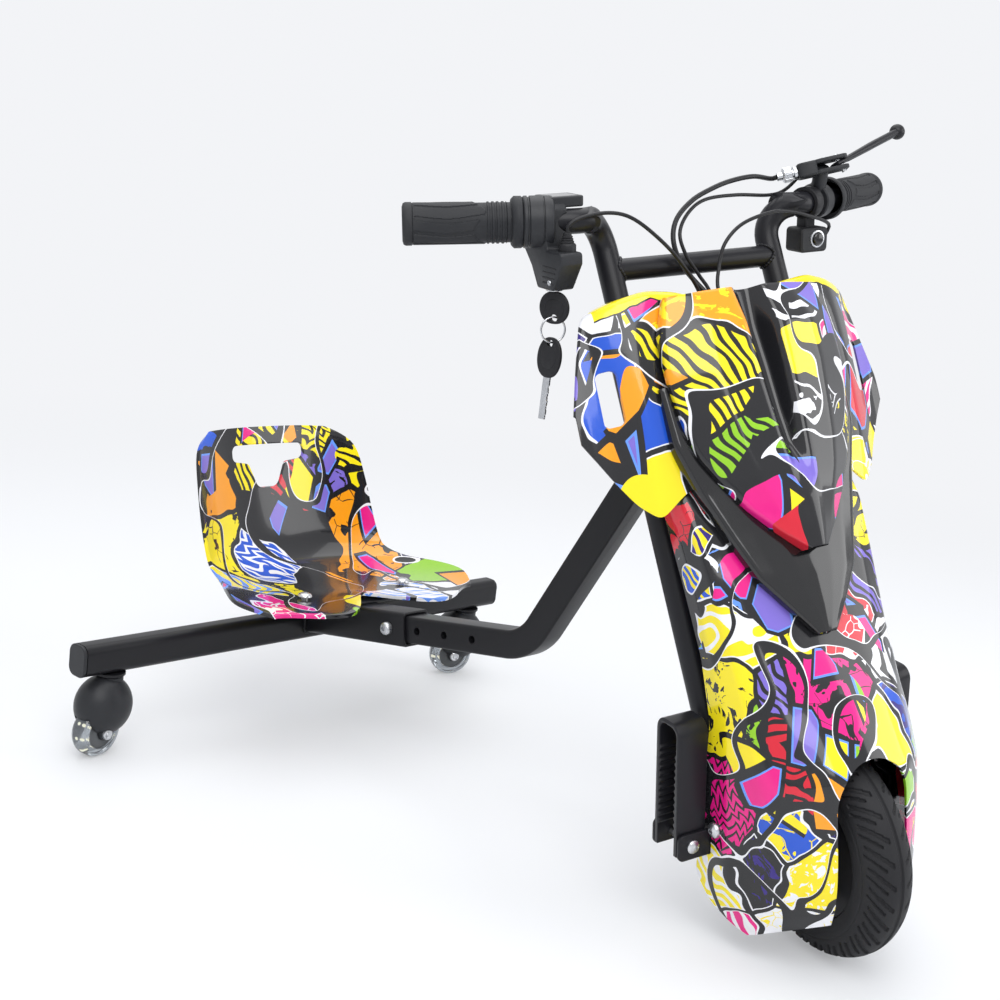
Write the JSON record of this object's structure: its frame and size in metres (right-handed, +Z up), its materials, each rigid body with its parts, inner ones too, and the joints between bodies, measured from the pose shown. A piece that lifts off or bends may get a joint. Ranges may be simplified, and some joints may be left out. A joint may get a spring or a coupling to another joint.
{
  "type": "electric tricycle",
  "caption": "Low drift tricycle with a motor in its front wheel, a printed fairing, a bucket seat and swivel casters at the back.",
  "frame": {"origin": "on the floor under the middle of the part's outline", "axes": "+X forward, +Y to the rider's left, +Z up"},
  "size_m": [0.907, 0.6259, 0.7335],
  "materials": {
    "frame_paint": "satin black paint",
    "black_plastic": "fine grained black plastic",
    "gloss_panel": "gloss black plastic",
    "printed_plastic": "glossy plastic with a printed pattern in yellow, magenta, blue, green, orange and white on black",
    "clear_plastic": "clear caster wheel plastic",
    "grip_rubber": "ribbed black rubber",
    "cable_sheath": "smooth black sheath",
    "tyre_rubber": "grooved black tyre",
    "bright_steel": "zinc plated steel",
    "alloy_case": "plain aluminium case",
    "battery_wrap": "blue shrink wrap"
  },
  "bodies": {
    "frame": {"rear_crossbar": "frame_paint", "crossbar_cap_right": "black_plastic", "crossbar_cap_left": "black_plastic", "seat_sleeve": "frame_paint", "frame_tube": "frame_paint", "length_bolt": "bright_steel", "head_tube": "frame_paint", "head_bearing_upper": "bright_steel", "head_bearing_lower": "bright_steel", "seat_shell": "printed_plastic", "seat_strap": "frame_paint", "seat_bolt_right": "bright_steel", "seat_bolt_left": "bright_steel", "caster_stem_right": "bright_steel", "caster_stem_left": "bright_steel"},
    "steering": {"fork_crown": "frame_paint", "upper_yoke": "frame_paint", "steerer": "bright_steel", "fork_leg_right": "frame_paint", "fork_leg_left": "frame_paint", "front_axle": "bright_steel", "brake_plate": "frame_paint", "front_cover": "printed_plastic", "upper_fairing": "printed_plastic", "nose_shield": "printed_plastic", "v_panel": "gloss_panel", "rear_cover": "printed_plastic", "battery_pack": "battery_wrap", "controller": "alloy_case", "handlebar": "frame_paint", "throttle_housing": "black_plastic", "brake_bracket": "black_plastic", "barrel_adjuster": "bright_steel", "grip_left": "grip_rubber", "switch_pod": "black_plastic", "brake_cable": "cable_sheath", "throttle_lead": "cable_sheath", "brake_switch_lead": "cable_sheath", "switch_lead": "cable_sheath", "footpeg_bracket_right": "frame_paint", "footpeg_bracket_left": "frame_paint", "footpeg_bolt_right": "bright_steel", "footpeg_bolt_left": "bright_steel"},
    "front_wheel": {"front_tyre": "tyre_rubber", "front_hub": "frame_paint"},
    "throttle_grip": {"throttle_grip": "grip_rubber"},
    "brake_lever": {"brake_lever": "frame_paint"},
    "lock": {"lock_barrel": "bright_steel", "ignition_key": "black_plastic"},
    "keys": {"key_ring": "bright_steel", "spare_key": "black_plastic"},
    "horn_button": {"horn_button": "gloss_panel"},
    "footpeg_right": {"footpeg_right": "frame_paint"},
    "footpeg_left": {"footpeg_left": "frame_paint"},
    "caster_right": {"caster_hood_right": "black_plastic", "caster_axle_right": "bright_steel"},
    "caster_left": {"caster_hood_left": "black_plastic", "caster_axle_left": "bright_steel"},
    "caster_wheel_right": {"caster_wheel_right": "clear_plastic"},
    "caster_wheel_left": {"caster_wheel_left": "clear_plastic"}
  },
  "joints": [
    {"name": "steering_turn", "type": "hinge", "parent": "frame", "child": "steering", "pos_m": [0.4005, 0, 0], "axis": [-0.4384, 0, 0.8988], "range_deg": [-19, 61]},
    {"name": "front_wheel_spin", "type": "hinge", "parent": "steering", "child": "front_wheel", "pos_m": [0.35758, -0.00186, 0.09907], "axis": [0.3221, 0.9336, 0.1571], "continuous": true},
    {"name": "throttle_twist", "type": "hinge", "parent": "steering", "child": "throttle_grip", "pos_m": [0.05926, -0.16199, 0.6018], "axis": [-0.6901, -0.7117, -0.1315], "range_deg": [0, 70], "stiffness_Nm_per_rad": 0.4},
    {"name": "brake_pull", "type": "hinge", "parent": "steering", "child": "brake_lever", "pos_m": [0.1886, 0.13059, 0.68831], "axis": [-0.5668, -0.2924, 0.7703], "range_deg": [0, 20], "stiffness_Nm_per_rad": 1.5},
    {"name": "lock_turn", "type": "hinge", "parent": "steering", "child": "lock", "pos_m": [0.08653, -0.13967, 0.54885], "axis": [-0.0262, -0.1571, 0.9872], "range_deg": [0, 90]},
    {"name": "keys_swing", "type": "hinge", "parent": "lock", "child": "keys", "pos_m": [0.08721, -0.13557, 0.52308], "axis": [-0.3123, 0.9394, 0.1412], "range_deg": [-45, 45]},
    {"name": "horn_press", "type": "slide", "parent": "steering", "child": "horn_button", "axis": [-0.9463, 0.3221, 0.0262], "range_m": [0, 0.002], "stiffness_N_per_m": 600},
    {"name": "footpeg_fold_right", "type": "hinge", "parent": "steering", "child": "footpeg_right", "pos_m": [0.26536, -0.09094, 0.09185], "axis": [0.9463, -0.3221, -0.0262], "range_deg": [0, 90]},
    {"name": "footpeg_fold_left", "type": "hinge", "parent": "steering", "child": "footpeg_left", "pos_m": [0.3388, 0.12192, 0.12767], "axis": [-0.9463, 0.3221, 0.0262], "range_deg": [0, 90]},
    {"name": "caster_swivel_right", "type": "hinge", "parent": "frame", "child": "caster_right", "pos_m": [-0.3395, -0.271, 0.06], "axis": [0, 0, 1], "continuous": true},
    {"name": "caster_spin_right", "type": "hinge", "parent": "caster_right", "child": "caster_wheel_right", "pos_m": [-0.3369, -0.28577, 0.027], "axis": [0.9848, 0.1736, 0], "continuous": true},
    {"name": "caster_swivel_left", "type": "hinge", "parent": "frame", "child": "caster_left", "pos_m": [-0.3395, 0.271, 0.06], "axis": [0, 0, 1], "continuous": true},
    {"name": "caster_spin_left", "type": "hinge", "parent": "caster_left", "child": "caster_wheel_left", "pos_m": [-0.34584, 0.2574, 0.027], "axis": [0.9063, -0.4226, 0], "continuous": true}
  ]
}
